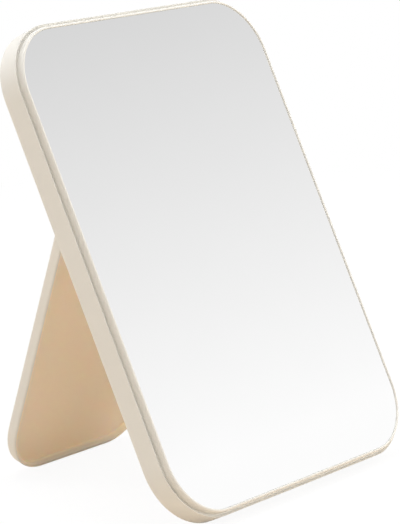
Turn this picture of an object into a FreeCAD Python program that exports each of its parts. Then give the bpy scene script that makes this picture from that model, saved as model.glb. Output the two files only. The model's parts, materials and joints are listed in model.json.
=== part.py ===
import FreeCAD, Part
import math
import os
import Sketcher

# Folding makeup mirror on its open stand, in millimetres.
# The part stands on z = 0, looks towards -Y and has its origin under the middle of its box.

doc = FreeCAD.newDocument("FoldingMirror")
dims = doc.addObject("Spreadsheet::Sheet", "dims")

# Driving dimensions
driving = {
    "shellWidth": 150,
    "shellHeight": 200,
    "shellDepth": 11.9,
    "cornerRadius": 25.5,
    "shellWall": 2,
    "backWall": 1.5,
    "restRadius": 0.8,
    "rimWall": 0.75,
    "rimStep": 1.7,
    "rimEdge": 0.6,
    "lipProud": 2.5,
    "lipInset": 1.45,
    "lipWidth": 1.0,
    "lipEdge": 0.4,
    "frameGap": 0.15,
    "flangeThick": 0.9,
    "frameFloor": 1.7,
    "hookHalf": 4,
    "hookPitch": 58,
    "hookReach": 41,
    "hookInset": 2.7,
    "hookThick": 1.2,
    "hookLong": 2.9,
    "nibLong": 1.2,
    "catchProud": 0.5,
    "catchLong": 1.3,
    "catchStart": 5,
    "glassSunk": 0.5,
    "glassThick": 2,
    "glassGap": 0.1,
    "glassArris": 0.15,
    "filmThick": 0.15,
    "filmInset": 0.5,
    "tapeThick": 0.5,
    "tapeWide": 10,
    "tapeLong": 110,
    "tapeInset": 4,
    "standWidth": 85.5,
    "standFoot": 153.3,
    "standCorner": 22.2,
    "standRim": 4.9,
    "standWall": 1.6,
    "standFloor": 1.6,
    "standCove": 2.5,
    "barTop": 1.6,
    "barLow": 5.5,
    "barCutback": 1.1,
    "barFront": 2,
    "hingeHeight": 55.2,
    "openAngle": 44.4,
    "recessGap": 0.4,
    "recessDepth": 5.2,
    "recessWall": 1.6,
    "recessTop": 3.4,
    "notchRadius": 20,
    "notchDeep": 4.8,
    "cutSpare": 0.6,
    "mouthEdge": 0.4,
    "pinRadius": 1.2,
    "pinLength": 24,
    "pressGap": 0.02,
    "runGap": 0.05,
    "bushRadius": 2,
    "bushSpare": 0.3,
    "flangeRadius": 2.2,
    "flangeThick": 0.85,
    "washerRadius": 1.9,
    "washerThick": 0.4,
    "clipStart": 46.2,
    "clipWidth": 8,
    "clipThick": 0.5,
    "clipGap": 0.03,
    "clipLeaf": 14,
    "clipOpening": 20,
    "clipHole": 9,
    "clipScrew": 0.8,
    "clipHead": 1.6,
    "clipHeadThick": 1.1,
    "clipReach": 3.2,
    "pilotSpare": 0.4,
    "eyeRoom": 0.4,
    "ribThick": 1.2,
    "ribPitch": 40,
    "ribTop": 6.6,
}

# Sizes that follow from the driving ones: the lean is set by where the stand's foot meets the table
footRise = (
    "=hingeHeight + shellHeight / 2 - restRadius"
    " - (standFoot - restRadius) * cos(openAngle) - (barFront - restRadius) * sin(openAngle)"
)
footReach = (
    "=hingeDepth - shellDepth + restRadius"
    " + (standFoot - restRadius) * sin(openAngle) - (barFront - restRadius) * cos(openAngle)"
)
headRise = (
    "=restRadius + (shellHeight / 2 - restRadius) * cos(leanAngle)"
    " + (shellDepth - restRadius) * sin(leanAngle)"
)
heelHeight = (
    "=hingeHeight - (standFoot - restRadius) * cos(openAngle)"
    " + (standRim - barFront - restRadius) * sin(openAngle)"
)
heelDepth = (
    "=hingeDepth + (standFoot - restRadius) * sin(openAngle)"
    " + (standRim - barFront - restRadius) * cos(openAngle)"
)
derived = {
    "halfWidth": "=shellWidth / 2",
    "halfHeight": "=shellHeight / 2",
    "barBack": "=standRim - barFront",
    "hingeDepth": "=shellDepth - barBack",
    "footRise": footRise,
    "footReach": footReach,
    "leanAngle": "=atan(footRise / footReach)",
    "headRise": headRise,
    "heelHeight": heelHeight,
    "heelDepth": heelDepth,
    "heelEnd": "=heelHeight * sin(leanAngle) + heelDepth * cos(leanAngle) + restRadius",
    "toeFront": "=(lipInset + lipEdge - halfHeight) * sin(leanAngle)",
    "toeSide": "=(lipInset - halfHeight) * sin(leanAngle) + lipEdge * cos(leanAngle)",
    "toeEnd": "=min(toeFront; toeSide)",
    "headShift": "=-(heelEnd + toeEnd) / 2",
    "axisShift": "=headShift + hingeHeight * sin(leanAngle) + hingeDepth * cos(leanAngle)",
    "axisRise": "=headRise + hingeHeight * cos(leanAngle) - hingeDepth * sin(leanAngle)",
    "lipInner": "=lipInset + lipWidth",
    "glassInset": "=lipInner + glassGap",
    "glassBack": "=glassSunk + glassThick",
    "filmBack": "=glassBack + filmThick",
    "floorFront": "=filmBack + tapeThick",
    "floorBack": "=floorFront + frameFloor",
    "seatDepth": "=lipProud + rimStep",
    "cavityDepth": "=shellDepth - backWall",
    "recessFront": "=shellDepth - recessDepth - recessWall",
    "recessHalf": "=standWidth / 2 + recessGap",
    "recessLow": "=hingeHeight - standFoot - recessGap",
    "recessHigh": "=hingeHeight + recessTop",
    "standHalf": "=standWidth / 2",
    "barHalf": "=standHalf - barCutback",
    "eyeInner": "=pinRadius + clipGap",
    "eyeOuter": "=eyeInner + clipThick",
    "clipMiddle": "=clipStart + clipWidth / 2",
    "boreRadius": "=pinRadius + runGap",
}

row = 0
for alias, value in list(driving.items()) + list(derived.items()):
    row += 1
    dims.set(f"A{row}", alias)
    dims.set(f"B{row}", str(value))
    dims.setAlias(f"B{row}", alias)
doc.recompute()

# The three frames: the head leans, the hinge frame lies on the pins, and the stand is turned open about them
headAngle = "90 deg - dims.leanAngle"
standAngle = headAngle + " + dims.openAngle * 1 deg"
frames = {
    "head": ("dims.headShift", "dims.headRise", headAngle),
    "hinge": ("dims.axisShift", "dims.axisRise", headAngle),
    "stand": ("dims.axisShift", "dims.axisRise", standAngle),
}
bodies = []


def number(expression):
    return float(dims.evalExpression(expression))


def newBody(label, frame):
    body = doc.addObject("PartDesign::Body", label)
    body.Label = label
    body.AllowCompound = True
    body.Placement = FreeCAD.Placement(FreeCAD.Vector(), FreeCAD.Rotation(FreeCAD.Vector(1, 0, 0), 1))
    shift, rise, angle = frames[frame]
    body.setExpression("Placement.Base.y", shift)
    body.setExpression("Placement.Base.z", rise)
    body.setExpression("Placement.Rotation.Angle", angle)
    bodies.append(body)
    return body


def newSketch(body, name, offset, role="XY_Plane"):
    sketch = body.newObject("Sketcher::SketchObject", name)
    plane = next(item for item in body.Origin.OriginFeatures if item.Role == role)
    sketch.AttachmentSupport = [(plane, "")]
    sketch.MapMode = "FlatFace"
    sketch.setExpression("AttachmentOffset.Base.z", offset)
    return sketch


def nameValue(sketch, index, expression):
    label = f"size{index}"
    sketch.renameConstraint(index, label)
    sketch.setExpression(f"Constraints.{label}", expression)


def fixPoint(sketch, kind, geometry, point, expression):
    value = number(expression)
    if abs(value) < 1e-9:
        axis = -2 if kind == "DistanceX" else -1
        sketch.addConstraint(Sketcher.Constraint("PointOnObject", geometry, point, axis))
        return
    ends = (-1, 1, geometry, point) if value > 0 else (geometry, point, -1, 1)
    index = sketch.addConstraint(Sketcher.Constraint(kind, *ends, abs(value)))
    nameValue(sketch, index, expression if value > 0 else f"-({expression})")


def fixRadius(sketch, geometry, expression):
    index = sketch.addConstraint(Sketcher.Constraint("Radius", geometry, number(expression)))
    nameValue(sketch, index, expression)


def addCircle(sketch, x, y, radius):
    centre = FreeCAD.Vector(number(x), number(y), 0)
    circle = Part.Circle(centre, FreeCAD.Vector(0, 0, 1), number(radius))
    index = sketch.addGeometry(circle, False)
    fixPoint(sketch, "DistanceX", index, 3, x)
    fixPoint(sketch, "DistanceY", index, 3, y)
    fixRadius(sketch, index, radius)


# A closed outline of level and upright lines, given as anticlockwise corners (x, y, radius or None)
def addOutline(sketch, corners):
    count = len(corners)
    points = [FreeCAD.Vector(number(x), number(y), 0) for x, y, radius in corners]
    radii = [number(radius) if radius else 0.0 for x, y, radius in corners]
    runs = [(points[(i + 1) % count] - points[i]).normalize() for i in range(count)]
    first = sketch.GeometryCount
    for i in range(count):
        after = (i + 1) % count
        start = points[i] + runs[i] * radii[i]
        end = points[after] - runs[i] * radii[after]
        sketch.addGeometry(Part.LineSegment(start, end), False)
        level = abs(runs[i].x) > abs(runs[i].y)
        sketch.addConstraint(Sketcher.Constraint("Horizontal" if level else "Vertical", first + i))
        kind = "DistanceY" if level else "DistanceX"
        fixPoint(sketch, kind, first + i, 1, corners[i][1] if level else corners[i][0])
    for i in range(count):
        before = first + (i - 1) % count
        if not radii[i]:
            sketch.addConstraint(Sketcher.Constraint("Coincident", before, 2, first + i, 1))
            continue
        incoming = runs[i - 1]
        centre = points[i] - incoming * radii[i] + runs[i] * radii[i]
        arrive = points[i] - incoming * radii[i] - centre
        leave = points[i] + runs[i] * radii[i] - centre
        leftTurn = incoming.cross(runs[i]).z > 0
        ends = (arrive, leave) if leftTurn else (leave, arrive)
        angles = [math.atan2(end.y, end.x) for end in ends]
        circle = Part.Circle(centre, FreeCAD.Vector(0, 0, 1), radii[i])
        arc = sketch.addGeometry(Part.ArcOfCircle(circle, *angles), False)
        arriveEnd, leaveEnd = (1, 2) if leftTurn else (2, 1)
        sketch.addConstraint(Sketcher.Constraint("Tangent", before, 2, arc, arriveEnd))
        sketch.addConstraint(Sketcher.Constraint("Tangent", first + i, 1, arc, leaveEnd))
        fixRadius(sketch, arc, corners[i][2])


def boxCorners(left, low, right, high, lowRadius=None, highRadius=None):
    lowEnds = [(left, low, lowRadius), (right, low, lowRadius)]
    return lowEnds + [(right, high, highRadius), (left, high, highRadius)]


# The mirror's own outline, set in from the outside of the shell
def insetCorners(inset):
    right = f"dims.halfWidth - {inset}"
    high = f"dims.halfHeight - {inset}"
    radius = f"dims.cornerRadius - {inset}"
    return boxCorners(f"-({right})", f"-({high})", right, high, radius, radius)


def extrude(body, kind, name, sketch, length, upward):
    feature = body.newObject(f"PartDesign::{kind}", name)
    feature.Profile = sketch
    feature.setExpression("Length", length)
    feature.Reversed = upward if kind == "Pocket" else not upward
    sketch.Visibility = False
    doc.recompute()
    return feature


def pad(body, name, sketch, length, upward=True):
    return extrude(body, "Pad", name, sketch, length, upward)


def pocket(body, name, sketch, length, upward=False):
    return extrude(body, "Pocket", name, sketch, length, upward)


def dressEdges(body, kind, name, size, wanted):
    base = body.Tip
    picked = []
    for index, edge in enumerate(base.Shape.Edges, start=1):
        middle = edge.valueAt((edge.FirstParameter + edge.LastParameter) / 2)
        ends = [vertex.Point for vertex in edge.Vertexes]
        if all(wanted(point) for point in ends + [middle]):
            picked.append(f"Edge{index}")
    feature = body.newObject(f"PartDesign::{kind}", name)
    feature.Base = (base, picked)
    feature.setExpression("Radius" if kind == "Fillet" else "Size", size)
    doc.recompute()


def near(value, expression):
    return abs(value - number(expression)) < 1e-3


# A flat sheet between two depths behind the lip's front
def plate(label, corners, front, back):
    body = newBody(label, "head")
    sketch = newSketch(body, f"{label}_outline", f"-{back}")
    addOutline(sketch, corners)
    pad(body, f"{label}_pad", sketch, f"{back} - {front}")
    return body


# A round piece along the hinge line, on the side given by the sign
def ring(body, name, sign, start, length, radius, bore=None):
    sketch = newSketch(body, f"{name}_section", f"{sign} * ({start})", "YZ_Plane")
    addCircle(sketch, "0", "0", radius)
    if bore:
        addCircle(sketch, "0", "0", bore)
    pad(body, f"{name}_pad", sketch, length, sign > 0)


sides = {"left": -1, "right": 1}
clipSpots = [(f"{sign} * dims.clipMiddle", "dims.clipHole") for sign in sides.values()]
sideHooks = [("x", sign, f"{step} * dims.hookPitch") for sign in (-1, 1) for step in (-1, 0, 1)]
endHooks = [("y", sign, f"{step} * dims.hookReach") for sign in (-1, 1) for step in (-1, 1)]


# One box for each snap hook, between two insets from the outside of the shell
def addHookBoxes(sketch, outer, inner, half):
    for axis, sign, place in sideHooks + endHooks:
        reach = "dims.halfWidth" if axis == "x" else "dims.halfHeight"
        bounds = [f"{reach} - {inner}", f"{reach} - {outer}"]
        if sign < 0:
            bounds = [f"-({bound})" for bound in reversed(bounds)]
        spans = [f"{place} - {half}", f"{place} + {half}"]
        across, along = (bounds, spans) if axis == "x" else (spans, bounds)
        addOutline(sketch, boxCorners(across[0], along[0], across[1], along[1]))


# Rear shell: tray with a rounded back edge
shell = newBody("rear_shell", "head")
sketch = newSketch(shell, "shell_outline", "-dims.shellDepth")
addOutline(sketch, insetCorners("0"))
pad(shell, "shell_block", sketch, "dims.shellDepth - dims.lipProud")
dressEdges(shell, "Fillet", "back_edge", "dims.restRadius", lambda p: near(p.z, "-dims.shellDepth"))
sketch = newSketch(shell, "cavity_outline", "-dims.lipProud")
addOutline(sketch, insetCorners("dims.shellWall"))
pocket(shell, "cavity", sketch, "dims.cavityDepth - dims.lipProud")

# Recess box that takes the folded stand
sketch = newSketch(shell, "recess_box_outline", "-dims.cavityDepth")
boxSide = "dims.recessHalf + dims.recessWall"
boxRadius = "dims.standCorner + dims.recessGap + dims.recessWall"
boxLow = "dims.recessLow - dims.recessWall"
boxHigh = "dims.recessHigh + dims.recessWall"
addOutline(sketch, boxCorners(f"-({boxSide})", boxLow, boxSide, boxHigh, boxRadius, "dims.restRadius"))
pad(shell, "recess_box", sketch, "dims.cavityDepth - dims.recessFront")

# Seats for the friction clips
sketch = newSketch(shell, "clip_seat_outline", "-dims.cavityDepth")
clipEnd = "dims.clipStart + dims.clipWidth"
seatLow = "dims.hingeHeight + dims.eyeOuter * 2"
seatHigh = "dims.hingeHeight + dims.clipLeaf"
addOutline(sketch, boxCorners("dims.clipStart", seatLow, clipEnd, seatHigh))
addOutline(sketch, boxCorners(f"-({clipEnd})", seatLow, "-dims.clipStart", seatHigh))
pad(shell, "clip_seats", sketch, "dims.cavityDepth - dims.hingeDepth + dims.eyeInner")

# Catches on the wall for the frame's snap hooks
sketch = newSketch(shell, "catch_outline", "-dims.catchStart - dims.catchLong")
addHookBoxes(sketch, "dims.rimWall", "(dims.shellWall + dims.catchProud)", "(dims.hookHalf + dims.cutSpare)")
pad(shell, "catches", sketch, "dims.catchLong")

# Stiffening ribs beside and above the recess
sketch = newSketch(shell, "rib_outline", "-dims.cavityDepth")
ribStart = "dims.recessHalf + dims.recessWall / 2"
ribEnd = "dims.halfWidth - dims.shellWall / 2"
for step in (-1, 1):
    low = f"{step} * dims.ribPitch - dims.ribThick / 2"
    high = f"{step} * dims.ribPitch + dims.ribThick / 2"
    addOutline(sketch, boxCorners(ribStart, low, ribEnd, high))
    addOutline(sketch, boxCorners(f"-({ribEnd})", low, f"-({ribStart})", high))
for step in (-1, 0, 1):
    left = f"{step} * dims.standWidth / 4 - dims.ribThick / 2"
    right = f"{step} * dims.standWidth / 4 + dims.ribThick / 2"
    ribHigh = "dims.halfHeight - dims.shellWall / 2"
    addOutline(sketch, boxCorners(left, "dims.recessHigh + dims.recessWall / 2", right, ribHigh))
pad(shell, "ribs", sketch, "dims.cavityDepth - dims.ribTop")

# Thin front rim that leaves the shadow gap beside the frame
sketch = newSketch(shell, "rim_outline", "-dims.lipProud")
addOutline(sketch, insetCorners("dims.rimWall"))
pocket(shell, "rim_step", sketch, "dims.rimStep")
rimHalfX = number("dims.halfWidth - dims.rimWall") + 0.01
rimHalfY = number("dims.halfHeight - dims.rimWall") + 0.01


def onInnerRim(point):
    return near(point.z, "-dims.lipProud") and abs(point.x) < rimHalfX and abs(point.y) < rimHalfY


dressEdges(shell, "Chamfer", "rim_edge", "dims.rimEdge", onInnerRim)

# Recess and finger notch, cut from the back
sketch = newSketch(shell, "recess_outline", "-dims.shellDepth")
recessRadius = "dims.standCorner + dims.recessGap"
recessSide = "dims.recessHalf"
recessEnds = ("dims.recessLow", "dims.recessHigh")
addOutline(
    sketch,
    boxCorners(f"-{recessSide}", recessEnds[0], recessSide, recessEnds[1], recessRadius, "dims.restRadius"),
)
pocket(shell, "stand_recess", sketch, "dims.recessDepth", True)
mouthX = number("dims.recessHalf") + 0.01
mouthLow = number("dims.recessLow") - 0.01
mouthHigh = number("dims.recessHigh") + 0.01


def onRecessMouth(point):
    return near(point.z, "-dims.shellDepth") and abs(point.x) < mouthX and mouthLow < point.y < mouthHigh


dressEdges(shell, "Chamfer", "recess_mouth", "dims.mouthEdge", onRecessMouth)
sketch = newSketch(shell, "notch_outline", "dims.halfHeight + dims.cutSpare", "XZ_Plane")
addCircle(sketch, "0", "dims.notchDeep - dims.notchRadius - dims.shellDepth", "dims.notchRadius")
pocket(shell, "finger_notch", sketch, "dims.halfHeight + dims.recessLow + dims.cutSpare * 2")

# Bush holes in the recess walls, room for the clip eyes, and the pilot holes
for side, sign in sides.items():
    sketch = newSketch(shell, f"bush_hole_{side}", f"{sign} * (dims.recessHalf - dims.cutSpare)", "YZ_Plane")
    addCircle(sketch, "dims.hingeHeight", "-dims.hingeDepth", "dims.bushRadius")
    pocket(shell, f"bush_bore_{side}", sketch, "dims.recessWall + dims.cutSpare * 2", sign > 0)
sketch = newSketch(shell, "eye_room_outline", "-dims.cavityDepth")
eyeEnd = f"{clipEnd} + dims.eyeRoom"
eyeStart = "dims.clipStart - dims.eyeRoom"
eyeLow = "dims.hingeHeight - dims.eyeOuter - dims.eyeRoom"
eyeHigh = "dims.hingeHeight + dims.eyeOuter + dims.eyeRoom"
addOutline(sketch, boxCorners(eyeStart, eyeLow, eyeEnd, eyeHigh))
addOutline(sketch, boxCorners(f"-({eyeEnd})", eyeLow, f"-({eyeStart})", eyeHigh))
pocket(shell, "eye_rooms", sketch, "dims.hingeDepth + dims.eyeOuter + dims.eyeRoom / 4 - dims.cavityDepth")
sketch = newSketch(shell, "clip_pilot_outline", "dims.eyeInner - dims.hingeDepth")
for x, y in clipSpots:
    addCircle(sketch, x, f"dims.hingeHeight + {y}", "dims.clipScrew + dims.pressGap")
pocket(shell, "clip_pilots", sketch, "dims.clipReach - dims.clipThick + dims.pilotSpare")

# Front frame: lip around the glass, flange in the rim's step, floor behind the glass, and a locating step
frame = newBody("front_frame", "head")
sketch = newSketch(frame, "frame_outline", "-dims.seatDepth")
addOutline(sketch, insetCorners("dims.lipInset"))
pad(frame, "frame_block", sketch, "dims.seatDepth")
dressEdges(frame, "Chamfer", "lip_edge", "dims.lipEdge", lambda p: near(p.z, "0"))
sketch = newSketch(frame, "flange_outline", "-dims.seatDepth")
addOutline(sketch, insetCorners("(dims.rimWall + dims.frameGap)"))
pad(frame, "flange", sketch, "dims.flangeThick")
sketch = newSketch(frame, "frame_step_outline", "-dims.floorBack")
addOutline(sketch, insetCorners("(dims.shellWall + dims.frameGap)"))
pad(frame, "frame_step", sketch, "dims.floorBack - dims.seatDepth")
sketch = newSketch(frame, "glass_pocket_outline", "0")
addOutline(sketch, insetCorners("dims.lipInner"))
pocket(frame, "glass_pocket", sketch, "dims.floorFront")
lipHalfX = number("dims.halfWidth - dims.lipInner") + 0.01
lipHalfY = number("dims.halfHeight - dims.lipInner") + 0.01


def onInnerLip(point):
    return near(point.z, "0") and abs(point.x) < lipHalfX and abs(point.y) < lipHalfY


dressEdges(frame, "Chamfer", "inner_lip_edge", "dims.lipEdge / 2", onInnerLip)

# Snap hooks on the back of the frame
sketch = newSketch(frame, "hook_outline", "-dims.floorBack")
hookInner = "(dims.hookInset + dims.hookThick)"
addHookBoxes(sketch, "dims.hookInset", hookInner, "dims.hookHalf")
pad(frame, "hooks", sketch, "dims.hookLong", False)
sketch = newSketch(frame, "nib_outline", "-dims.floorBack - dims.hookLong")
addHookBoxes(sketch, "(dims.shellWall + dims.frameGap)", hookInner, "dims.hookHalf")
pad(frame, "nibs", sketch, "dims.nibLong")

# Glass with a ground edge, its backing film, and four strips of tape
glass = plate("mirror_glass", insetCorners("dims.glassInset"), "dims.glassSunk", "dims.glassBack")
dressEdges(
    glass, "Chamfer", "arris", "dims.glassArris",
    lambda p: near(p.z, "-dims.glassSunk") or near(p.z, "-dims.glassBack"),
)
plate("safety_film", insetCorners("(dims.glassInset + dims.filmInset)"), "dims.glassBack", "dims.filmBack")
tapeHalf = "dims.tapeLong / 2"
outerX = "dims.halfWidth - dims.glassInset - dims.tapeInset"
outerY = "dims.halfHeight - dims.glassInset - dims.tapeInset"
innerX = f"{outerX} - dims.tapeWide"
innerY = f"{outerY} - dims.tapeWide"
crossHalf = f"({tapeHalf}) * dims.shellWidth / dims.shellHeight"
tapes = {
    "tape_top": boxCorners(f"-({crossHalf})", innerY, crossHalf, outerY),
    "tape_bottom": boxCorners(f"-({crossHalf})", f"-({outerY})", crossHalf, f"-({innerY})"),
    "tape_left": boxCorners(f"-({outerX})", f"-({tapeHalf})", f"-({innerX})", tapeHalf),
    "tape_right": boxCorners(innerX, f"-({tapeHalf})", outerX, tapeHalf),
}
for label, corners in tapes.items():
    plate(label, corners, "dims.filmBack", "dims.floorFront")

# Clip screws: flat heads and plain shanks
screws = newBody("clip_screws", "hinge")
heads = newSketch(screws, "head_outline", "dims.eyeOuter")
shanks = newSketch(screws, "shank_outline", "dims.eyeOuter")
for x, y in clipSpots:
    addCircle(heads, x, y, "dims.clipHead")
    addCircle(shanks, x, y, "dims.clipScrew")
pad(screws, "screw_heads", heads, "dims.clipHeadThick")
pad(screws, "screw_shanks", shanks, "dims.clipReach", False)

# Stand: shallow tray with a coved floor and a solid bar along the hinge
stand = newBody("stand_panel", "stand")
sketch = newSketch(stand, "stand_outline", "-dims.barBack")
addOutline(
    sketch,
    [
        ("-dims.standHalf", "-dims.standFoot", "dims.standCorner"),
        ("dims.standHalf", "-dims.standFoot", "dims.standCorner"),
        ("dims.standHalf", "-dims.barLow", None),
        ("dims.barHalf", "-dims.barLow", None),
        ("dims.barHalf", "dims.barTop", None),
        ("-dims.barHalf", "dims.barTop", None),
        ("-dims.barHalf", "-dims.barLow", None),
        ("-dims.standHalf", "-dims.barLow", None),
    ],
)
pad(stand, "stand_block", sketch, "dims.standRim")


def onTrayEdge(point):
    rim = near(point.z, "-dims.barBack") or near(point.z, "dims.barFront")
    return rim and (near(abs(point.x), "dims.standHalf") or point.y < number("-dims.barLow - 1"))


dressEdges(stand, "Fillet", "tray_edges", "dims.restRadius", onTrayEdge)


def onBarTop(face):
    return lambda point: near(point.y, "dims.barTop") and near(point.z, face)


dressEdges(stand, "Fillet", "bar_front", "dims.barTop", onBarTop("dims.barFront"))
dressEdges(stand, "Fillet", "bar_back", "dims.barFront", onBarTop("-dims.barBack"))
sketch = newSketch(stand, "tray_outline", "dims.barFront")
traySide = "dims.standHalf - dims.standWall"
trayLow = "dims.standWall - dims.standFoot"
trayRadius = "dims.standCorner - dims.standWall"
trayHigh = "-dims.barLow - dims.standWall"
addOutline(sketch, boxCorners(f"-({traySide})", trayLow, traySide, trayHigh, trayRadius))
pocket(stand, "tray", sketch, "dims.standRim - dims.standFloor")
floorLevel = "dims.standFloor - dims.barBack"


def onTrayFloor(point):
    rounded = near(abs(point.x), traySide) or point.y < number(f"{trayLow} + {trayRadius}") + 0.01
    return near(point.z, floorLevel) and rounded


dressEdges(stand, "Fillet", "floor_cove", "dims.standCove", onTrayFloor)
for side, sign in sides.items():
    sketch = newSketch(stand, f"pin_hole_{side}", f"{sign} * dims.barHalf", "YZ_Plane")
    addCircle(sketch, "0", "0", "dims.pinRadius + dims.pressGap")
    pocket(stand, f"pin_bore_{side}", sketch, "dims.pinLength / 2", sign < 0)

# Hinge pieces on each side
for side, sign in sides.items():
    pin = newBody(f"hinge_pin_{side}", "stand")
    pinStart = f"{clipEnd} + dims.eyeRoom - dims.pinLength"
    ring(pin, f"pin_{side}", sign, pinStart, "dims.pinLength", "dims.pinRadius")
    washer = newBody(f"thrust_washer_{side}", "stand")
    ring(washer, f"washer_{side}", sign, "dims.barHalf + dims.runGap", "dims.washerThick", "dims.washerRadius",
         "dims.boreRadius")
    bush = newBody(f"hinge_bush_{side}", "hinge")
    ring(bush, f"flange_{side}", sign, "dims.recessHalf - dims.flangeThick", "dims.flangeThick",
         "dims.flangeRadius", "dims.boreRadius")
    ring(bush, f"barrel_{side}", sign, "dims.recessHalf", "dims.recessWall + dims.bushSpare",
         "dims.bushRadius - dims.pressGap", "dims.boreRadius")

# Friction clip: a strip rolled round the pin, with a flat leaf for its screw
def clipProfile(sketch):
    outer = number("dims.eyeOuter")
    inner = number("dims.eyeInner")
    leaf = number("dims.clipLeaf")
    opening = math.radians(number("dims.clipOpening"))
    zero = FreeCAD.Vector()
    up = FreeCAD.Vector(0, 0, 1)
    turn = 2 * math.pi + opening
    sketch.addGeometry(Part.ArcOfCircle(Part.Circle(zero, up, outer), math.pi / 2, turn), False)
    sketch.addGeometry(Part.ArcOfCircle(Part.Circle(zero, up, inner), math.pi / 2, turn), False)
    ends = [
        (FreeCAD.Vector(0, outer, 0), FreeCAD.Vector(leaf, outer, 0)),
        (FreeCAD.Vector(leaf, outer, 0), FreeCAD.Vector(leaf, inner, 0)),
        (FreeCAD.Vector(leaf, inner, 0), FreeCAD.Vector(0, inner, 0)),
        (
            FreeCAD.Vector(inner * math.cos(opening), inner * math.sin(opening), 0),
            FreeCAD.Vector(outer * math.cos(opening), outer * math.sin(opening), 0),
        ),
    ]
    for start, end in ends:
        sketch.addGeometry(Part.LineSegment(start, end), False)
    joints = [
        ("Coincident", 0, 3, -1, 1),
        ("Coincident", 1, 3, -1, 1),
        ("Tangent", 2, 1, 0, 1),
        ("Coincident", 2, 2, 3, 1),
        ("Coincident", 3, 2, 4, 1),
        ("Tangent", 4, 2, 1, 1),
        ("Coincident", 5, 1, 1, 2),
        ("Coincident", 5, 2, 0, 2),
        ("Horizontal", 2),
        ("Horizontal", 4),
        ("Vertical", 3),
        ("PointOnObject", -1, 1, 5),
    ]
    for joint in joints:
        sketch.addConstraint(Sketcher.Constraint(*joint))
    fixRadius(sketch, 0, "dims.eyeOuter")
    fixRadius(sketch, 1, "dims.eyeInner")
    fixPoint(sketch, "DistanceX", 2, 2, "dims.clipLeaf")
    index = sketch.addConstraint(Sketcher.Constraint("Angle", -1, 1, 5, 1, opening))
    nameValue(sketch, index, "dims.clipOpening * 1 deg")


for side, sign in sides.items():
    clip = newBody(f"friction_clip_{side}", "hinge")
    sketch = newSketch(clip, f"clip_section_{side}", f"{sign} * dims.clipStart", "YZ_Plane")
    clipProfile(sketch)
    pad(clip, f"clip_strip_{side}", sketch, "dims.clipWidth", sign > 0)
    sketch = newSketch(clip, f"clip_holes_{side}", "dims.eyeOuter + dims.cutSpare")
    for x, y in clipSpots:
        if number(x) * sign > 0:
            addCircle(sketch, x, y, "dims.clipScrew + dims.runGap")
    pocket(clip, f"clip_drill_{side}", sketch, "dims.clipThick + dims.cutSpare * 2")

# Check every piece, then write it
doc.recompute()
for item in doc.Objects:
    if "Invalid" in item.State or "Error" in item.State:
        raise RuntimeError(f"{item.Label} did not build")
os.makedirs("parts", exist_ok=True)
for body in bodies:
    shape = body.Shape
    if shape.isNull() or not shape.isValid():
        raise RuntimeError(f"{body.Label} has no sound shape")
    shape.exportStep(os.path.join("parts", f"{body.Label}.step"))
    print(body.Label, len(shape.Solids), round(shape.Volume, 1))
print("lean", number("dims.leanAngle"), "axis", number("dims.axisShift"), number("dims.axisRise"))
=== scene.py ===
import json
import math

import bmesh
import bpy
from mathutils import Matrix, Vector


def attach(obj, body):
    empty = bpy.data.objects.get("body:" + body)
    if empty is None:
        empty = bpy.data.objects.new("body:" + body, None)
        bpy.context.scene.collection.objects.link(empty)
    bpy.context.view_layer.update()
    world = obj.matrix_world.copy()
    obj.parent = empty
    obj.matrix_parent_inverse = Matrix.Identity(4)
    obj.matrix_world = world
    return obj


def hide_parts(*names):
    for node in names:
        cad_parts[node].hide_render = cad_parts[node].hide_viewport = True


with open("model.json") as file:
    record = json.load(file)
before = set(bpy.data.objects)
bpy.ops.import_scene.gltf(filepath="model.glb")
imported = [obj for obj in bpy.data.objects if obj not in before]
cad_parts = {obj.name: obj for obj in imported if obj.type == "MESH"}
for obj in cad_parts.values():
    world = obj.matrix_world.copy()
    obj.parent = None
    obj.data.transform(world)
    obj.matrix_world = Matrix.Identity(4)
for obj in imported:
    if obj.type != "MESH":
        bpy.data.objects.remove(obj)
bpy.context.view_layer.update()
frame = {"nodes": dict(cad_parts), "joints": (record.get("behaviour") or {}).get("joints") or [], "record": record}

scene = bpy.context.scene
nodes = frame["nodes"]
mm = 0.001
print("frame loaded:", len(nodes), "nodes")


# The frames of the head and the stand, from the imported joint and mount

hinge = frame["joints"][0]
axisPlace = Vector(hinge["pos_m"])
backAxis = Vector(frame["record"]["mounts"][0]["axis"])
lean = math.atan2(-backAxis.z, backAxis.y)
headUp = Vector((0, math.sin(lean), math.cos(lean)))
headFront = Vector((0, -math.cos(lean), math.sin(lean)))


def frameMatrix(place, up, front):
    # local x to the right, y up the piece, z out of its front
    turn = Matrix((Vector((1, 0, 0)), up, front)).transposed()
    return Matrix.Translation(place) @ turn.to_4x4()


headSize = {
    "width": 150,
    "height": 200,
    "corner": 25.5,
    "hingeUp": 55.2,
    "hingeBack": 9.0,
    "openAngle": 44.4,
}
headPlace = axisPlace - headUp * headSize["hingeUp"] * mm + headFront * headSize["hingeBack"] * mm
headMatrix = frameMatrix(headPlace, headUp, headFront)
hingeMatrix = frameMatrix(axisPlace, headUp, headFront)
standMatrix = hingeMatrix @ Matrix.Rotation(math.radians(headSize["openAngle"]), 4, "X")


# Node trees, for shaders and shapes alike

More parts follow.
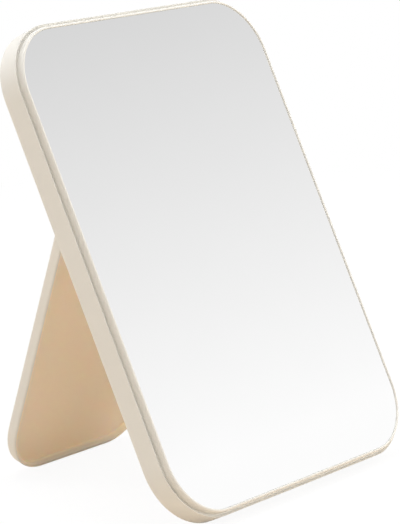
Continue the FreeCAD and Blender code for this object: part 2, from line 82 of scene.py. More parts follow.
class Socket:
    # one output of a node, so that maths on it reads as plain sums

    def __init__(self, tree, link):
        self.tree = tree
        self.link = link

    def sum(self, operation, first, second=0.0):
        return self.tree.add("ShaderNodeMath", {"operation": operation}, {0: first, 1: second})

    def other(self, output):
        return Socket(self.tree, self.link.node.outputs[output])

    def __add__(self, value):
        return self.sum("ADD", self, value)

    def __sub__(self, value):
        return self.sum("SUBTRACT", self, value)

    def __rsub__(self, value):
        return self.sum("SUBTRACT", value, self)

    def __mul__(self, value):
        return self.sum("MULTIPLY", self, value)

    def __gt__(self, value):
        return self.sum("GREATER_THAN", self, value)

    def most(self, value):
        return self.sum("MAXIMUM", self, value)

    def least(self, value):
        return self.sum("MINIMUM", self, value)

    __radd__ = __add__
    __rmul__ = __mul__


noiseDetail = {"plain": 2.0, "fine": 3.0}


class Tree:
    # one node tree

    def __init__(self, tree):
        self.tree = tree
        tree.nodes.clear()

    def add(self, kind, settings=None, sockets=None, output=0):
        node = self.tree.nodes.new(kind)
        for key, value in (settings or {}).items():
            setattr(node, key, value)
        for key, value in (sockets or {}).items():
            for entry in value if isinstance(value, list) else [value]:
                if isinstance(entry, Socket):
                    self.tree.links.new(entry.link, node.inputs[key])
                else:
                    node.inputs[key].default_value = entry
        return Socket(self, node.outputs[output]) if node.outputs else node

    def given(self, name):
        return self.add("NodeGroupInput", output=name)

    def mix(self, factor, first, second):
        colours = {"Factor": factor, 6: (*first, 1.0), 7: (*second, 1.0)}
        return self.add("ShaderNodeMix", {"data_type": "RGBA"}, colours, 2)

    def noise(self, scale, detail="plain", stretch=(1.0, 1.0, 1.0)):
        place = self.add("ShaderNodeTexCoord", output="Object")
        drawn = self.add("ShaderNodeMapping", {}, {"Vector": place, "Scale": stretch})
        sockets = {"Vector": drawn, "Scale": scale, "Detail": noiseDetail[detail]}
        return self.add("ShaderNodeTexNoise", {}, sockets)

    def bump(self, height, depth, strength):
        return self.add("ShaderNodeBump", {}, {"Strength": strength, "Distance": depth, "Height": height})


# Finishes

def makeFinish(name, colour, roughness, extras):
    # extras are further sockets of the surface, given the tree
    material = bpy.data.materials.new(name)
    material.use_nodes = True
    shader = Tree(material.node_tree)
    sockets = {"Base Color": colour(shader), "Roughness": roughness(shader)}
    sockets.update(extras(shader))
    surface = shader.add("ShaderNodeBsdfPrincipled", {}, sockets)
    shader.add("ShaderNodeOutputMaterial", {}, {"Surface": surface})
    return material


def wander(level, spread, noise):
    # a level that the noise moves evenly to both sides
    return level + spread * (noise - 0.5)


creamPlastic = {
    "pale": (0.785, 0.768, 0.722),
    "deep": (0.77, 0.752, 0.704),
    "driftScale": 22.0,
    "grainScale": 2600.0,
    "grainDepth": 0.00002,
    "grainStrength": 0.08,
    "gloss": 0.6,
    "glossDrift": 0.08,
    "bend": 1.5,
    "milky": 0.0,
    "milkDepth": 0.0033,
    "milkTint": (1.0, 0.65, 0.42),
}

# The stand's tray floor and back, and more so its rim and inner walls, are lighter, warmer copies of the cream:
# painted warm bounce light where the stand sits in shade. The thin tray also lets some light through, and its
# thick edge lets it travel further
paintedTrayBounce = {
    **creamPlastic,
    "pale": (0.87, 0.8, 0.732),
    "deep": (0.855, 0.784, 0.713),
    "milky": 0.85,
}
paintedRimBounce = {
    **paintedTrayBounce,
    "pale": (0.95, 0.82, 0.68),
    "deep": (0.935, 0.805, 0.665),
    "milkDepth": 0.010,
}


def makePlastic(name, look):
    # moulded plastic with a fine spark-eroded grain

    def grain(shader):
        return shader.noise(look["grainScale"])

    return makeFinish(
        name,
        lambda shader: shader.mix(shader.noise(look["driftScale"], "fine"), look["deep"], look["pale"]),
        lambda shader: wander(look["gloss"], look["glossDrift"], shader.noise(look["driftScale"])),
        lambda shader: {
            "Normal": shader.bump(grain(shader), look["grainDepth"], look["grainStrength"]),
            "IOR": look["bend"],
            "Subsurface Weight": look["milky"],
            "Subsurface Radius": look["milkTint"],
            "Subsurface Scale": look["milkDepth"],
        },
    )


silverGlass = {
    "clear": (0.985, 0.985, 0.985),
    "dull": (0.97, 0.97, 0.97),
    "smearScale": 35.0,
    "haze": 0.012,
}


def makeMirror(name, look):
    # silvered glass, with the faintest smear
    return makeFinish(
        name,
        lambda shader: shader.mix(shader.noise(look["smearScale"], "fine"), look["dull"], look["clear"]),
        lambda shader: look["haze"] * shader.noise(look["smearScale"], "fine"),
        lambda shader: {"Metallic": 1.0},
    )


metalGrain = {"grainScale": 5.0, "grainDepth": 0.00002, "grainStrength": 0.3, "glossDrift": 0.15}
drawnSteel = {
    **metalGrain,
    "clear": (0.66, 0.66, 0.67),
    "dull": (0.52, 0.52, 0.53),
    "gloss": 0.3,
    "stretch": (4, 400, 400),
}
springSteel = {
    **metalGrain,
    "clear": (0.56, 0.55, 0.54),
    "dull": (0.42, 0.41, 0.41),
    "gloss": 0.38,
    "stretch": (40, 600, 600),
}
zincSteel = {
    **metalGrain,
    "clear": (0.7, 0.71, 0.73),
    "dull": (0.56, 0.57, 0.6),
    "gloss": 0.32,
    "stretch": (300, 300, 300),
}


def makeMetal(name, look):
    # on the pins and clips the grain is drawn out along the hinge line

    def grain(shader):
        return shader.noise(look["grainScale"], "fine", look["stretch"])

    return makeFinish(
        name,
        lambda shader: shader.mix(grain(shader), look["dull"], look["clear"]),
        lambda shader: wander(look["gloss"], look["glossDrift"], grain(shader)),
        lambda shader: {
            "Metallic": 1.0,
            "Normal": shader.bump(grain(shader), look["grainDepth"], look["grainStrength"]),
        },
    )


fineGrain = {"grainDepth": 0.00004, "grainStrength": 0.3, "glossDrift": 0.12}
groundEdge = {
    **fineGrain,
    "clear": (0.86, 0.89, 0.87),
    "dull": (0.8, 0.84, 0.82),
    "grainScale": 1800.0,
    "gloss": 0.35,
}
acetal = {
    **fineGrain,
    "clear": (0.82, 0.81, 0.77),
    "dull": (0.76, 0.75, 0.71),
    "grainScale": 700.0,
    "gloss": 0.36,
}
nylon = {
    **fineGrain,
    "clear": (0.74, 0.72, 0.66),
    "dull": (0.66, 0.64, 0.58),
    "grainScale": 900.0,
    "gloss": 0.45,
}
backingFilm = {
    **fineGrain,
    "clear": (0.46, 0.47, 0.48),
    "dull": (0.4, 0.41, 0.42),
    "grainScale": 260.0,
    "gloss": 0.55,
}
foamTape = {
    **fineGrain,
    "clear": (0.8, 0.8, 0.78),
    "dull": (0.62, 0.62, 0.6),
    "grainScale": 2200.0,
    "gloss": 0.85,
}


def makeGrained(name, look):
    # an even grain, the same in every direction

    def grain(shader):
        return shader.noise(look["grainScale"], "fine")

    return makeFinish(
        name,
        lambda shader: shader.mix(grain(shader), look["dull"], look["clear"]),
        lambda shader: wander(look["gloss"], look["glossDrift"], shader.noise(look["grainScale"])),
        lambda shader: {"Normal": shader.bump(grain(shader), look["grainDepth"], look["grainStrength"])},
    )


cream = makePlastic("creamPlastic", creamPlastic)
# the stand's lighter, warmer copies of the cream, which carry painted bounce light
trayBouncePainted = makePlastic("paintedTrayBounce", paintedTrayBounce)
rimBouncePainted = makePlastic("paintedRimBounce", paintedRimBounce)
mirrorFace = makeMirror("silverGlass", silverGlass)
glassEdge = makeGrained("groundEdge", groundEdge)
screwMetal = makeMetal("zincSteel", zincSteel)
finishes = {
    "shell_plastic": cream,
    "frame_plastic": cream,
    "stand_plastic": trayBouncePainted,
    "silvered_glass": mirrorFace,
    "backing_film": makeGrained("backingFilm", backingFilm),
    "foam_tape": makeGrained("foamTape", foamTape),
    "screw_steel": screwMetal,
    "spring_steel": makeMetal("springSteel", springSteel),
    "bush_plastic": makeGrained("acetal", acetal),
    "pin_steel": makeMetal("drawnSteel", drawnSteel),
    "washer_plastic": makeGrained("nylon", nylon),
}
for node in nodes.values():
    for index, material in enumerate(node.data.materials):
        node.data.materials[index] = finishes[material.name.split(".")[0]]
print("finishes on")


# Shapes

meshing = {
    "sharpAngle": 32,
    "faceWeight": 100,
    "roundSteps": 9,
    "seam": 0.00003,
    "doubles": 0.000001,
    "flatAngle": 0.3,
}


def newShape(name, inputs):
    group = bpy.data.node_groups.new(name, "GeometryNodeTree")
    group.interface.new_socket("Geometry", in_out="OUTPUT", socket_type="NodeSocketGeometry")
    group.interface.new_socket("Geometry", in_out="INPUT", socket_type="NodeSocketGeometry")
    for label, kind in inputs.items():
        group.interface.new_socket(label, in_out="INPUT", socket_type="NodeSocket" + kind)
    return Tree(group)


def endShape(shape, geometry, front=None):
    # whole and painted, with its front in a finish of its own where there is one
    whole = shape.add("GeometryNodeRealizeInstances", {}, {"Geometry": geometry})
    paint = {"Geometry": whole, "Material": shape.given("Material")}
    painted = shape.add("GeometryNodeSetMaterial", {}, paint)
    if front is not None:
        paint = {"Geometry": painted, "Selection": front, "Material": shape.given("Front Material")}
        painted = shape.add("GeometryNodeSetMaterial", {}, paint)
    shape.add("NodeGroupOutput", {}, {"Geometry": painted})


def runShape(shape, name, points, edges, values, turns=()):
    # the tree run on points and the lines between them, as a plain mesh
    mesh = bpy.data.meshes.new(name)
    mesh.from_pydata(points, edges, [])
    if turns:
        mesh.attributes.new("turn", "FLOAT", "POINT").data.foreach_set("value", turns)
    holder = bpy.data.objects.new(name, mesh)
    scene.collection.objects.link(holder)
    modifier = holder.modifiers.new("shape", "NODES")
    modifier.node_group = shape.tree
    for item in shape.tree.interface.items_tree:
        if item.in_out == "INPUT" and item.name in values:
            modifier[item.identifier] = values[item.name]
    depsgraph = bpy.context.evaluated_depsgraph_get()
    shaped = bpy.data.meshes.new_from_object(holder.evaluated_get(depsgraph), depsgraph=depsgraph)
    bpy.data.objects.remove(holder)
    return shaped


def joinMeshes(meshes):
    # several meshes in one, with the materials kept in order
    materials = []
    whole = bmesh.new()
    for mesh in meshes:
        start = len(whole.faces)
        whole.from_mesh(mesh)
        whole.faces.ensure_lookup_table()
        for material in mesh.materials:
            if material not in materials:
                materials.append(material)
        for face in whole.faces[start:]:
            face.material_index = materials.index(mesh.materials[face.material_index])
    return whole, materials


def makePiece(name, shape, materials, matrix, body, node):
    # a closed mesh in its place, smooth but for its sharp edges
    bmesh.ops.recalc_face_normals(shape, faces=shape.faces)
    for edge in shape.edges:
        edge.smooth = edge.calc_face_angle(math.pi) < math.radians(meshing["sharpAngle"])
    for face in shape.faces:
        face.smooth = True
    mesh = bpy.data.meshes.new(name)
    shape.to_mesh(mesh)
    shape.free()
    mesh.transform(matrix)
    for material in materials:
        mesh.materials.append(material)
    holder = bpy.data.objects.new(name, mesh)
    scene.collection.objects.link(holder)
    shading = holder.modifiers.new("shading", "WEIGHTED_NORMAL")
    shading.keep_sharp = True
    shading.weight = meshing["faceWeight"]
    depsgraph = bpy.context.evaluated_depsgraph_get()
    holder.data = bpy.data.meshes.new_from_object(holder.evaluated_get(depsgraph), depsgraph=depsgraph)
    holder.modifiers.clear()
    holder.data.name = name
    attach(holder, body)
    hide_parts(node)
    print(name, "made:", len(holder.data.polygons), "faces")


def roundLine(points, steps):
    # a line through (x, y, radius) points in millimetres, its corners rounded
    line = []
    for index, (x, y, radius) in enumerate(points):
        spot = Vector((x, y))
        if not radius:
            line.append(spot * mm)
            continue
        before = (Vector(points[index - 1][:2]) - spot).normalized()
        after = (Vector(points[index + 1][:2]) - spot).normalized()
        half = before.angle(after) / 2
        middle = spot + (before + after).normalized() * (radius / math.sin(half))
        start = spot + before * (radius / math.tan(half)) - middle
        end = spot + after * (radius / math.tan(half)) - middle
        for step in range(steps + 1):
            line.append((middle + start.lerp(end, step / steps).normalized() * radius) * mm)
    return line


# A plate with rounded corners, whose edge follows a profile of (inset, level) points

plateShape = newShape(
    "sweptPlate",
    {
        "Width": "Float",
        "Height": "Float",
        "Corner": "Float",
        "Steps": "Int",
        "Seam": "Float",
        "Front Inset": "Float",
        "Front Level": "Float",
        "Back Inset": "Float",
        "Back Level": "Float",
        "Material": "Material",
        "Front Material": "Material",
    },
)


def plateOutline(inset):
    shape = plateShape
    rectangle = shape.add(
        "GeometryNodeCurvePrimitiveQuadrilateral",
        {"mode": "RECTANGLE"},
        {"Width": shape.given("Width") - inset * 2.0, "Height": shape.given("Height") - inset * 2.0},
    )
    return shape.add(
        "GeometryNodeFilletCurve",
        {"mode": "POLY"},
        {"Curve": rectangle, "Count": shape.given("Steps"), "Radius": shape.given("Corner") - inset},
    )


def plateFace(end):
    shape = plateShape
    outline = plateOutline(shape.given(end + " Inset"))
    sheet = shape.add("GeometryNodeFillCurve", {"mode": "NGONS"}, {"Curve": outline})
    lift = shape.add("ShaderNodeCombineXYZ", {}, {"Z": shape.given(end + " Level")})
    return shape.add("GeometryNodeTransform", {}, {"Geometry": sheet, "Translation": lift})


def growPlate():
    shape = plateShape
    seam = shape.given("Seam")
    path = shape.add("GeometryNodeSetCurveNormal", {"mode": "Z_UP"}, {"Curve": plateOutline(0.0)})
    profile = shape.add("GeometryNodeMeshToCurve", {}, {"Mesh": shape.given("Geometry")})
    edge = shape.add("GeometryNodeCurveToMesh", {}, {"Curve": path, "Profile Curve": profile})
    parts = [edge, plateFace("Back"), plateFace("Front")]
    joined = shape.add("GeometryNodeJoinGeometry", {}, {"Geometry": parts})
    merged = shape.add("GeometryNodeMergeByDistance", {}, {"Geometry": joined, "Distance": seam})
    level = shape.add("ShaderNodeSeparateXYZ", {}, {0: shape.add("GeometryNodeInputPosition")}, "Z")
    front = shape.add(
        "FunctionNodeCompare",
        {"data_type": "FLOAT", "operation": "EQUAL"},
        {0: level, 1: shape.given("Front Level"), "Epsilon": seam},
    )
    endShape(shape, merged, front)


growPlate()


def runPlate(name, size, profile, edgeMaterial, frontMaterial):
    # the profile runs from the rim of the front face, round the outside, to the rim of the back face
    tall = size["tall"]  # rounded corners are this many times as tall as wide
    line = roundLine([(x, y / tall, radius) for x, y, radius in profile], meshing["roundSteps"])
    return runShape(
        plateShape,
        name,
        [(-point.x, -point.y * tall, 0.0) for point in line],
        [(index, index + 1) for index in range(len(line) - 1)],
        {
            "Width": (headSize["width"] - 2 * size["inset"]) * mm,
            "Height": (headSize["height"] - 2 * size["inset"]) * mm,
            "Corner": (headSize["corner"] - size["inset"]) * mm,
            "Steps": size["steps"],
            "Seam": meshing["seam"],
            "Front Inset": profile[0][0] * mm,
            "Front Level": profile[0][1] * mm,
            "Back Inset": profile[-1][0] * mm,
            "Back Level": profile[-1][1] * mm,
            "Material": edgeMaterial,
            "Front Material": frontMaterial,
        },
    )


mirrorPlate = {"inset": 2.55, "front": -0.5, "thick": 2.0, "arris": 0.15, "tall": 1.0, "steps": 24}


def makeMirrorPlate(size):
    front = size["front"]
    back = front - size["thick"]
    arris = size["arris"]
    profile = [(arris, front, 0), (0, front - arris, 0), (0, back + arris, 0), (arris, back, 0)]
    mesh = runPlate("mirrorPlate", size, profile, glassEdge, mirrorFace)
    shape, materials = joinMeshes([mesh])
    makePiece("mirrorPlate", shape, materials, headMatrix, "mirror_head", "mirror_glass")


makeMirrorPlate(mirrorPlate)


# Snap hooks, one for each point, turned as its turn attribute says

hookShape = newShape(
    "snapHooks",
    {"Leaf": "Vector", "Nib": "Vector", "Nib Out": "Float", "Material": "Material"},
)


def growHooks():
    shape = hookShape
    leafSize = shape.given("Leaf")
    nibSize = shape.given("Nib")
    leafHigh = shape.add("ShaderNodeSeparateXYZ", {}, {0: leafSize}, "Z")
    nibHigh = shape.add("ShaderNodeSeparateXYZ", {}, {0: nibSize}, "Z")
    leafPlace = shape.add("ShaderNodeCombineXYZ", {}, {"Z": leafHigh * -0.5})
    nibLift = nibHigh * 0.5 - leafHigh
    nibPlace = shape.add("ShaderNodeCombineXYZ", {}, {"X": shape.given("Nib Out"), "Z": nibLift})
    leaf = shape.add("GeometryNodeMeshCube", {}, {"Size": leafSize})
    nib = shape.add("GeometryNodeMeshCube", {}, {"Size": nibSize})
    leaf = shape.add("GeometryNodeTransform", {}, {"Geometry": leaf, "Translation": leafPlace})
    nib = shape.add("GeometryNodeTransform", {}, {"Geometry": nib, "Translation": nibPlace})
    fuse = {"operation": "UNION", "solver": "EXACT"}
    hook = shape.add("GeometryNodeMeshBoolean", fuse, {"Mesh 2": [leaf, nib]})
    turn = shape.add("GeometryNodeInputNamedAttribute", {"data_type": "FLOAT"}, {"Name": "turn"})
    rotation = shape.add("ShaderNodeCombineXYZ", {}, {"Z": turn})
    points = shape.add("GeometryNodeMeshToPoints", {}, {"Mesh": shape.given("Geometry")})
    hooks = shape.add(
        "GeometryNodeInstanceOnPoints", {}, {"Points": points, "Instance": hook, "Rotation": rotation}
    )
    endShape(shape, hooks)


growHooks()

frontFrame = {
    "inset": 1.45,
    "lipWide": 1.08,
    "lipRound": 0.65,
    "innerRound": 0.15,
    "tall": 2.0,
    "pocket": -3.15,
    "flangeTop": -3.3,
    "flangeOut": 0.69,
    "seat": -4.2,
    "back": -4.85,
    "stepIn": 0.7,
    "steps": 28,
    "hookInset": 3.3,
    "hookLeaf": (1.2, 8.0, 2.9),
    "hookNib": (1.75, 8.0, 1.2),
    "nibOut": 0.275,
    "hookPitch": 58,
    "hookReach": 41,
}


def hookSpots(size):
    # three hooks on each long side and two on each short one, as (x, y, turn)
    across = headSize["width"] / 2 - size["hookInset"]
    along = headSize["height"] / 2 - size["hookInset"]
    spots = []
    for side in (-1, 1):
        spots += [(side * across, step * size["hookPitch"], 90 - 90 * side) for step in (-1, 0, 1)]
    for side in (-1, 1):
        spots += [(step * size["hookReach"], side * along, 90 * side) for step in (-1, 1)]
    return spots


def makeFrontFrame(size):
    profile = [
        (size["lipWide"], size["pocket"], 0),
        (size["lipWide"], 0, size["innerRound"]),
        (0, 0, size["lipRound"]),
        (0, size["flangeTop"], 0),
        (-size["flangeOut"], size["flangeTop"], 0),
        (-size["flangeOut"], size["seat"], 0),
        (size["stepIn"], size["seat"], 0),
        (size["stepIn"], size["back"], 0),
    ]
    plate = runPlate("frontFrame", size, profile, cream, cream)
    spots = hookSpots(size)
    hooks = runShape(
        hookShape,
        "snapHooks",
        [(x * mm, y * mm, size["back"] * mm) for x, y, turn in spots],
        [],
        {
            "Leaf": Vector(size["hookLeaf"]) * mm,
            "Nib": Vector(size["hookNib"]) * mm,
            "Nib Out": size["nibOut"] * mm,
            "Material": cream,
        },
        [math.radians(turn) for x, y, turn in spots],
    )
    shape, materials = joinMeshes([plate, hooks])
    makePiece("frontFrame", shape, materials, headMatrix, "mirror_head", "front_frame")


makeFrontFrame(frontFrame)


# Clip screws: cross-slotted heads and threaded shanks, one for each point

screwShape = newShape(
    "clipScrews",
    {
        "Head Radius": "Float",
        "Head Thick": "Float",
        "Slot": "Vector",
        "Shank Radius": "Float",
        "Reach": "Float",
        "Bite": "Float",
        "Thread": "Float",
        "Turns": "Float",
        "Sides": "Int",
        "Turn Steps": "Int",
        "Ridge Sides": "Int",
        "Material": "Material",
    },
)


def growScrews():
    shape = screwShape
    thick = shape.given("Head Thick")
    reach = shape.given("Reach")
    bite = shape.given("Bite")
    thread = shape.given("Thread")
    core = shape.given("Shank Radius") - thread

    def lifted(part, height, turn=0.0):
        place = shape.add("ShaderNodeCombineXYZ", {}, {"Z": height})
        moved = {"Geometry": part, "Translation": place, "Rotation": (0.0, 0.0, turn)}
        return shape.add("GeometryNodeTransform", {}, moved)

    def cylinder(radius, length):
        sockets = {"Vertices": shape.given("Sides"), "Radius": radius, "Depth": length}
        return shape.add("GeometryNodeMeshCylinder", {}, sockets)

    head = lifted(cylinder(shape.given("Head Radius"), thick), thick * 0.5)
    bar = shape.add("GeometryNodeMeshCube", {}, {"Size": shape.given("Slot")})
    bars = [lifted(bar, thick), lifted(bar, thick, math.pi / 2)]
    cut = {"operation": "DIFFERENCE", "solver": "EXACT"}
    head = shape.add("GeometryNodeMeshBoolean", cut, {"Mesh 1": head, "Mesh 2": bars})
    shank = lifted(cylinder(core, reach + bite), (bite - reach) * 0.5)
    spiral = shape.add(
        "GeometryNodeCurveSpiral",
        {},
        {
            "Resolution": shape.given("Turn Steps"),
            "Rotations": shape.given("Turns"),
            "Start Radius": core,
            "End Radius": core,
            "Height": reach - thread * 2.0,
        },
    )
    ridge = shape.add(
        "GeometryNodeCurvePrimitiveCircle", {}, {"Resolution": shape.given("Ridge Sides"), "Radius": thread}
    )
    wound = shape.add(
        "GeometryNodeCurveToMesh", {}, {"Curve": spiral, "Profile Curve": ridge, "Fill Caps": True}
    )
    parts = [head, shank, lifted(wound, thread - reach)]
    screw = shape.add("GeometryNodeJoinGeometry", {}, {"Geometry": parts})
    points = shape.add("GeometryNodeMeshToPoints", {}, {"Mesh": shape.given("Geometry")})
    screws = shape.add("GeometryNodeInstanceOnPoints", {}, {"Points": points, "Instance": screw})
    endShape(shape, screws)


growScrews()

clipScrews = {
    "across": 50.2,
    "up": 9.0,
    "out": 1.73,
    "headRadius": 1.6,
    "headThick": 1.1,
    "slot": (1.9, 0.45, 1.1),
    "shankRadius": 0.8,
    "reach": 3.2,
    "bite": 0.44,
    "thread": 0.12,
    "turns": 6.0,
    "sides": 36,
    "turnSteps": 24,
    "ridgeSides": 4,
}


def makeClipScrews(size):
    mesh = runShape(
        screwShape,
        "clipScrews",
        [(side * size["across"] * mm, size["up"] * mm, size["out"] * mm) for side in (-1, 1)],
        [],
        {
            "Head Radius": size["headRadius"] * mm,
            "Head Thick": size["headThick"] * mm,
            "Slot": Vector(size["slot"]) * mm,
            "Shank Radius": size["shankRadius"] * mm,
            "Reach": size["reach"] * mm,
            "Bite": size["bite"] * mm,
            "Thread": size["thread"] * mm,
            "Turns": size["turns"],
            "Sides": size["sides"],
            "Turn Steps": size["turnSteps"],
            "Ridge Sides": size["ridgeSides"],
            "Material": screwMetal,
        },
    )
    shape, materials = joinMeshes([mesh])
    makePiece("clipScrews", shape, materials, hingeMatrix, "mirror_head", "clip_screws")


makeClipScrews(clipScrews)


# Stand panel: the solid's own shape, with a tighter corner round the tray's floor and a rounded inner rim

standPanel = {
    "traySide": 41.15,
    "trayLow": -151.7,
    "trayHigh": -7.1,
    "trayCorner": 20.6,
    "trayFloor": -1.3,
    "past": 0.02,  # the new tray goes this far past the solid's own
    "floorRound": 0.8,
    "floorSteps": 4,
    "cornerSteps": 20,
    "rimLevel": 2.0,
    "rimRound": 0.4,
    "rimSteps": 3,
    "rimProfile": 0.5,
    "rimAngle": 60,
    "slack": 0.01,
    "spare": 1.0,
    "sideFacing": 0.3,
}


def trayRing(size, inset, level):
    # the tray's outline at one level, its sides and foot set in
    radius = size["trayCorner"] + size["past"] - inset
    across = size["traySide"] - size["trayCorner"]
    low = size["trayLow"] + size["trayCorner"]
    high = size["trayHigh"] + size["past"]
    ring = [(-across - radius, high)]
    for side, start in ((-1, 180), (1, 270)):
        for step in range(size["cornerSteps"] + 1):
            turn = math.radians(start + 90 * step / size["cornerSteps"])
            ring.append((side * across + radius * math.cos(turn), low + radius * math.sin(turn)))
    ring.append((across + radius, high))
    return [Vector((x, y, level)) * mm for x, y in ring]


def trayCutter(size):
    # the room inside the tray, from its floor to above its rim
    rings = []
    for step in range(size["floorSteps"] + 1):
        turn = math.pi / 2 * step / size["floorSteps"]
        inset = size["floorRound"] * (1 - math.sin(turn))
        level = size["trayFloor"] - size["past"] + size["floorRound"] * (1 - math.cos(turn))
        rings.append(trayRing(size, inset, level))
    rings.append(trayRing(size, 0.0, size["rimLevel"] + size["spare"]))
    count = len(rings[0])
    faces = [list(range(count))[::-1]]
    for ring in range(len(rings) - 1):
        low = ring * count
        high = low + count
        for spot in range(count):
            after = (spot + 1) % count
            faces.append([low + spot, low + after, high + after, high + spot])
    faces.append(list(range((len(rings) - 1) * count, len(rings) * count)))
    mesh = bpy.data.meshes.new("trayRoom")
    mesh.from_pydata([point for ring in rings for point in ring], [], faces)
    return mesh


def cutMesh(mesh, tool):
    # one closed mesh less another
    holder = bpy.data.objects.new("whole", mesh)
    cutter = bpy.data.objects.new("cutter", tool)
    scene.collection.objects.link(holder)
    scene.collection.objects.link(cutter)
    cut = holder.modifiers.new("cut", "BOOLEAN")
    cut.operation = "DIFFERENCE"
    cut.solver = "EXACT"
    cut.object = cutter
    depsgraph = bpy.context.evaluated_depsgraph_get()
    left = bpy.data.meshes.new_from_object(holder.evaluated_get(depsgraph), depsgraph=depsgraph)
    bpy.data.objects.remove(holder)
    bpy.data.objects.remove(cutter)
    return left


def cleanMesh(shape):
    # doubles merged, and flat stretches made whole faces
    flat = math.radians(meshing["flatAngle"])
    bmesh.ops.remove_doubles(shape, verts=shape.verts, dist=meshing["doubles"])
    bmesh.ops.dissolve_limit(shape, angle_limit=flat, verts=shape.verts, edges=shape.edges)


def makeStandPanel(size):
    solid = bmesh.new()
    solid.from_mesh(nodes["stand_panel"].data)
    cleanMesh(solid)
    solid.transform(standMatrix.inverted())
    whole = bpy.data.meshes.new("standSolid")
    solid.to_mesh(whole)
    solid.free()
    shape = bmesh.new()
    shape.from_mesh(cutMesh(whole, trayCutter(size)))
    cleanMesh(shape)
    trayReach = size["traySide"] + size["past"] + size["slack"]

    def onRim(edge):
        level = all(abs(end.co.z - size["rimLevel"] * mm) < size["slack"] * mm for end in edge.verts)
        inside = all(abs(end.co.x) < trayReach * mm for end in edge.verts)
        return level and inside and edge.calc_face_angle(0.0) > math.radians(size["rimAngle"])

    def onSide(face):
        # the outer sides, which keep the plain cream, while the rest of the panel gets painted bounce light
        outwards = math.copysign(1, face.calc_center_median().x)
        return face.normal.x * outwards > size["sideFacing"]

    rim = [edge for edge in shape.edges if onRim(edge)]
    bmesh.ops.bevel(
        shape,
        geom=rim,
        offset=size["rimRound"] * mm,
        offset_type="OFFSET",
        segments=size["rimSteps"],
        profile=size["rimProfile"],
        affect="EDGES",
    )
    print("rim edges rounded:", len(rim))
    # Tray floor and back in a lighter, warmer cream, rim and inner walls lighter still: painted bounce light where
    # the stand sits in shade; only the outer sides keep the plain cream
    edgeLevel = (size["trayFloor"] - size["past"] + size["floorRound"] / 2) * mm
    for face in shape.faces:
        onEdge = face.calc_center_median().z > edgeLevel
        face.material_index = 1 if onSide(face) else 2 if onEdge else 0
    looks = [trayBouncePainted, cream, rimBouncePainted]
    makePiece("standPanel", shape, looks, standMatrix, "stand", "stand_panel")


makeStandPanel(standPanel)


# Floor, light and camera

white = (1.0, 1.0, 1.0)
studio = {
    "floorHalf": 4.0,
    "floorWarm": (0.8, 0.675, 0.53),
    "floorWhite": 0.92,
    "shadowReach": 0.2,
    "shadowFade": 0.6,
    "ambient": 0.44,
    "mirrorStart": 1.924,
    "mirrorRise": -1.743,
    "mirrorTurn": -0.521,
    "mirrorLeast": 0.55,
    "aim": (0.0, 0.0, 0.1),
}
lamps = {
    "over": {"place": (0.0, 0.3, 1.6), "size": 1.0, "watts": 10.7},
    "overFront": {"place": (0.0, -0.8, 1.5), "size": 1.0, "watts": 6.3},
    "back": {"place": (-0.3, 1.4, 1.0), "size": 1.2, "watts": 6.0},
    "front": {"place": (0.7, -1.5, 0.5), "size": 0.8, "watts": 8.7},
    "right": {"place": (1.5, 0.1, 0.6), "size": 0.9, "watts": 10.6},
    "left": {"place": (-1.5, 0.2, 0.6), "size": 1.2, "watts": 2.7},
    "fill": {"place": (-0.25, 0.3, 0.06), "size": 0.2, "watts": 0.08},
}


def seenRays(shader):
    # one for what the camera sees, straight or in a mirror or glass
    ray = shader.add("ShaderNodeLightPath", output="Is Camera Ray")
    return ray.most(ray.other("Is Glossy Ray")).most(ray.other("Is Transmission Ray"))


def makeFloor():
    # white to the eye and wholly so further out; near the object it keeps a faint shadow
    half = studio["floorHalf"]
    corners = [(-half, -half, 0), (half, -half, 0), (half, half, 0), (-half, half, 0)]
    mesh = bpy.data.meshes.new("floor")
    mesh.from_pydata(corners, [], [(0, 1, 2, 3)])
    floor = bpy.data.objects.new("floor", mesh)
    scene.collection.objects.link(floor)
    material = bpy.data.materials.new("paleFloor")
    material.use_nodes = True
    shader = Tree(material.node_tree)
    seen = seenRays(shader)
    place = shader.add("ShaderNodeTexCoord", output="Object")
    reach = shader.add("ShaderNodeVectorMath", {"operation": "LENGTH"}, {0: place}, "Value")
    far = ((reach - studio["shadowReach"]) * (1.0 / studio["shadowFade"])).most(0.0).least(1.0)
    share = studio["floorWhite"] + (1.0 - studio["floorWhite"]) * far
    colour = shader.mix(seen, studio["floorWarm"], white)
    matt = shader.add("ShaderNodeBsdfDiffuse", {}, {"Color": colour})
    plain = shader.add("ShaderNodeEmission", {}, {"Color": (*white, 1.0), "Strength": 1.0})
    surface = shader.add("ShaderNodeMixShader", {}, {0: seen * share, 1: matt, 2: plain})
    shader.add("ShaderNodeOutputMaterial", {}, {"Surface": surface})
    mesh.materials.append(material)


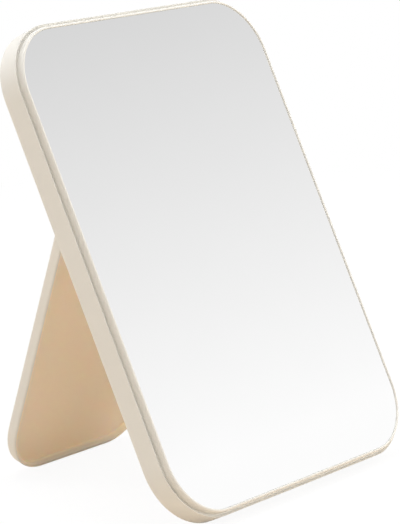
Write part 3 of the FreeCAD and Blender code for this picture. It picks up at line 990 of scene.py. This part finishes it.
def makeWorld():
    # white to the eye, an even soft light, and a grey fall towards the top in what the glass shows
    scene.world = bpy.data.worlds.new("studio")
    scene.world.use_nodes = True
    shader = Tree(scene.world.node_tree)
    ray = shader.add("ShaderNodeLightPath", output="Is Camera Ray")
    way = shader.add("ShaderNodeTexCoord", output="Generated")
    east = shader.add("ShaderNodeSeparateXYZ", {}, {0: way}, "X")
    south = east.other("Y") * -1.0
    turn = east.sum("ARCTAN2", east, south)
    grey = studio["mirrorStart"] + studio["mirrorRise"] * east.other("Z") + studio["mirrorTurn"] * turn
    front = south > 0.0
    shade = 1.0 - front * (1.0 - grey.most(studio["mirrorLeast"]).least(1.0))
    even = {"Color": (*white, 1.0), "Strength": studio["ambient"]}
    soft = shader.add("ShaderNodeBackground", {}, even)
    shown = shader.add("ShaderNodeBackground", {}, {"Color": (*white, 1.0), "Strength": 1.0})
    mirrored = shader.add("ShaderNodeBackground", {}, {"Color": shade, "Strength": 1.0})
    base = shader.add("ShaderNodeMixShader", {}, {0: ray.other("Is Glossy Ray"), 1: soft, 2: mirrored})
    whole = shader.add("ShaderNodeMixShader", {}, {0: ray, 1: base, 2: shown})
    shader.add("ShaderNodeOutputWorld", {}, {"Surface": whole})


def addLamp(name, settings):
    lamp = bpy.data.lights.new(name, "AREA")
    lamp.shape = "DISK"
    lamp.size = settings["size"]
    lamp.energy = settings["watts"]
    holder = bpy.data.objects.new(name, lamp)
    scene.collection.objects.link(holder)
    holder.location = settings["place"]
    ahead = Vector(studio["aim"]) - holder.location
    holder.rotation_euler = ahead.to_track_quat("-Z", "Y").to_euler()


cameraView = {
    "azimuth": -50.684,
    "elevation": 10.594,
    "roll": -2.775,
    "distance": 1.03899,
    "aim": (0.00567, -0.00947, 0.08685),
    "lens": 178.45,
    "clipEnd": 50.0,
}


def makeCamera():
    turn = math.radians(cameraView["azimuth"])
    lift = math.radians(cameraView["elevation"])
    back = Vector((math.sin(turn) * math.cos(lift), -math.cos(turn) * math.cos(lift), math.sin(lift)))
    data = bpy.data.cameras.new("camera")
    data.lens = cameraView["lens"]
    data.clip_end = cameraView["clipEnd"]
    camera = bpy.data.objects.new("camera", data)
    scene.collection.objects.link(camera)
    level = (-back).to_track_quat("-Z", "Y").to_matrix().to_4x4()
    place = Vector(cameraView["aim"]) + back * cameraView["distance"]
    roll = Matrix.Rotation(math.radians(cameraView["roll"]), 4, "Z")
    camera.matrix_world = Matrix.Translation(place) @ level @ roll
    scene.camera = camera


makeFloor()
makeWorld()
for lampName, lampSettings in lamps.items():
    addLamp(lampName, lampSettings)
makeCamera()
scene.view_settings.view_transform = "Standard"
print("stage set")
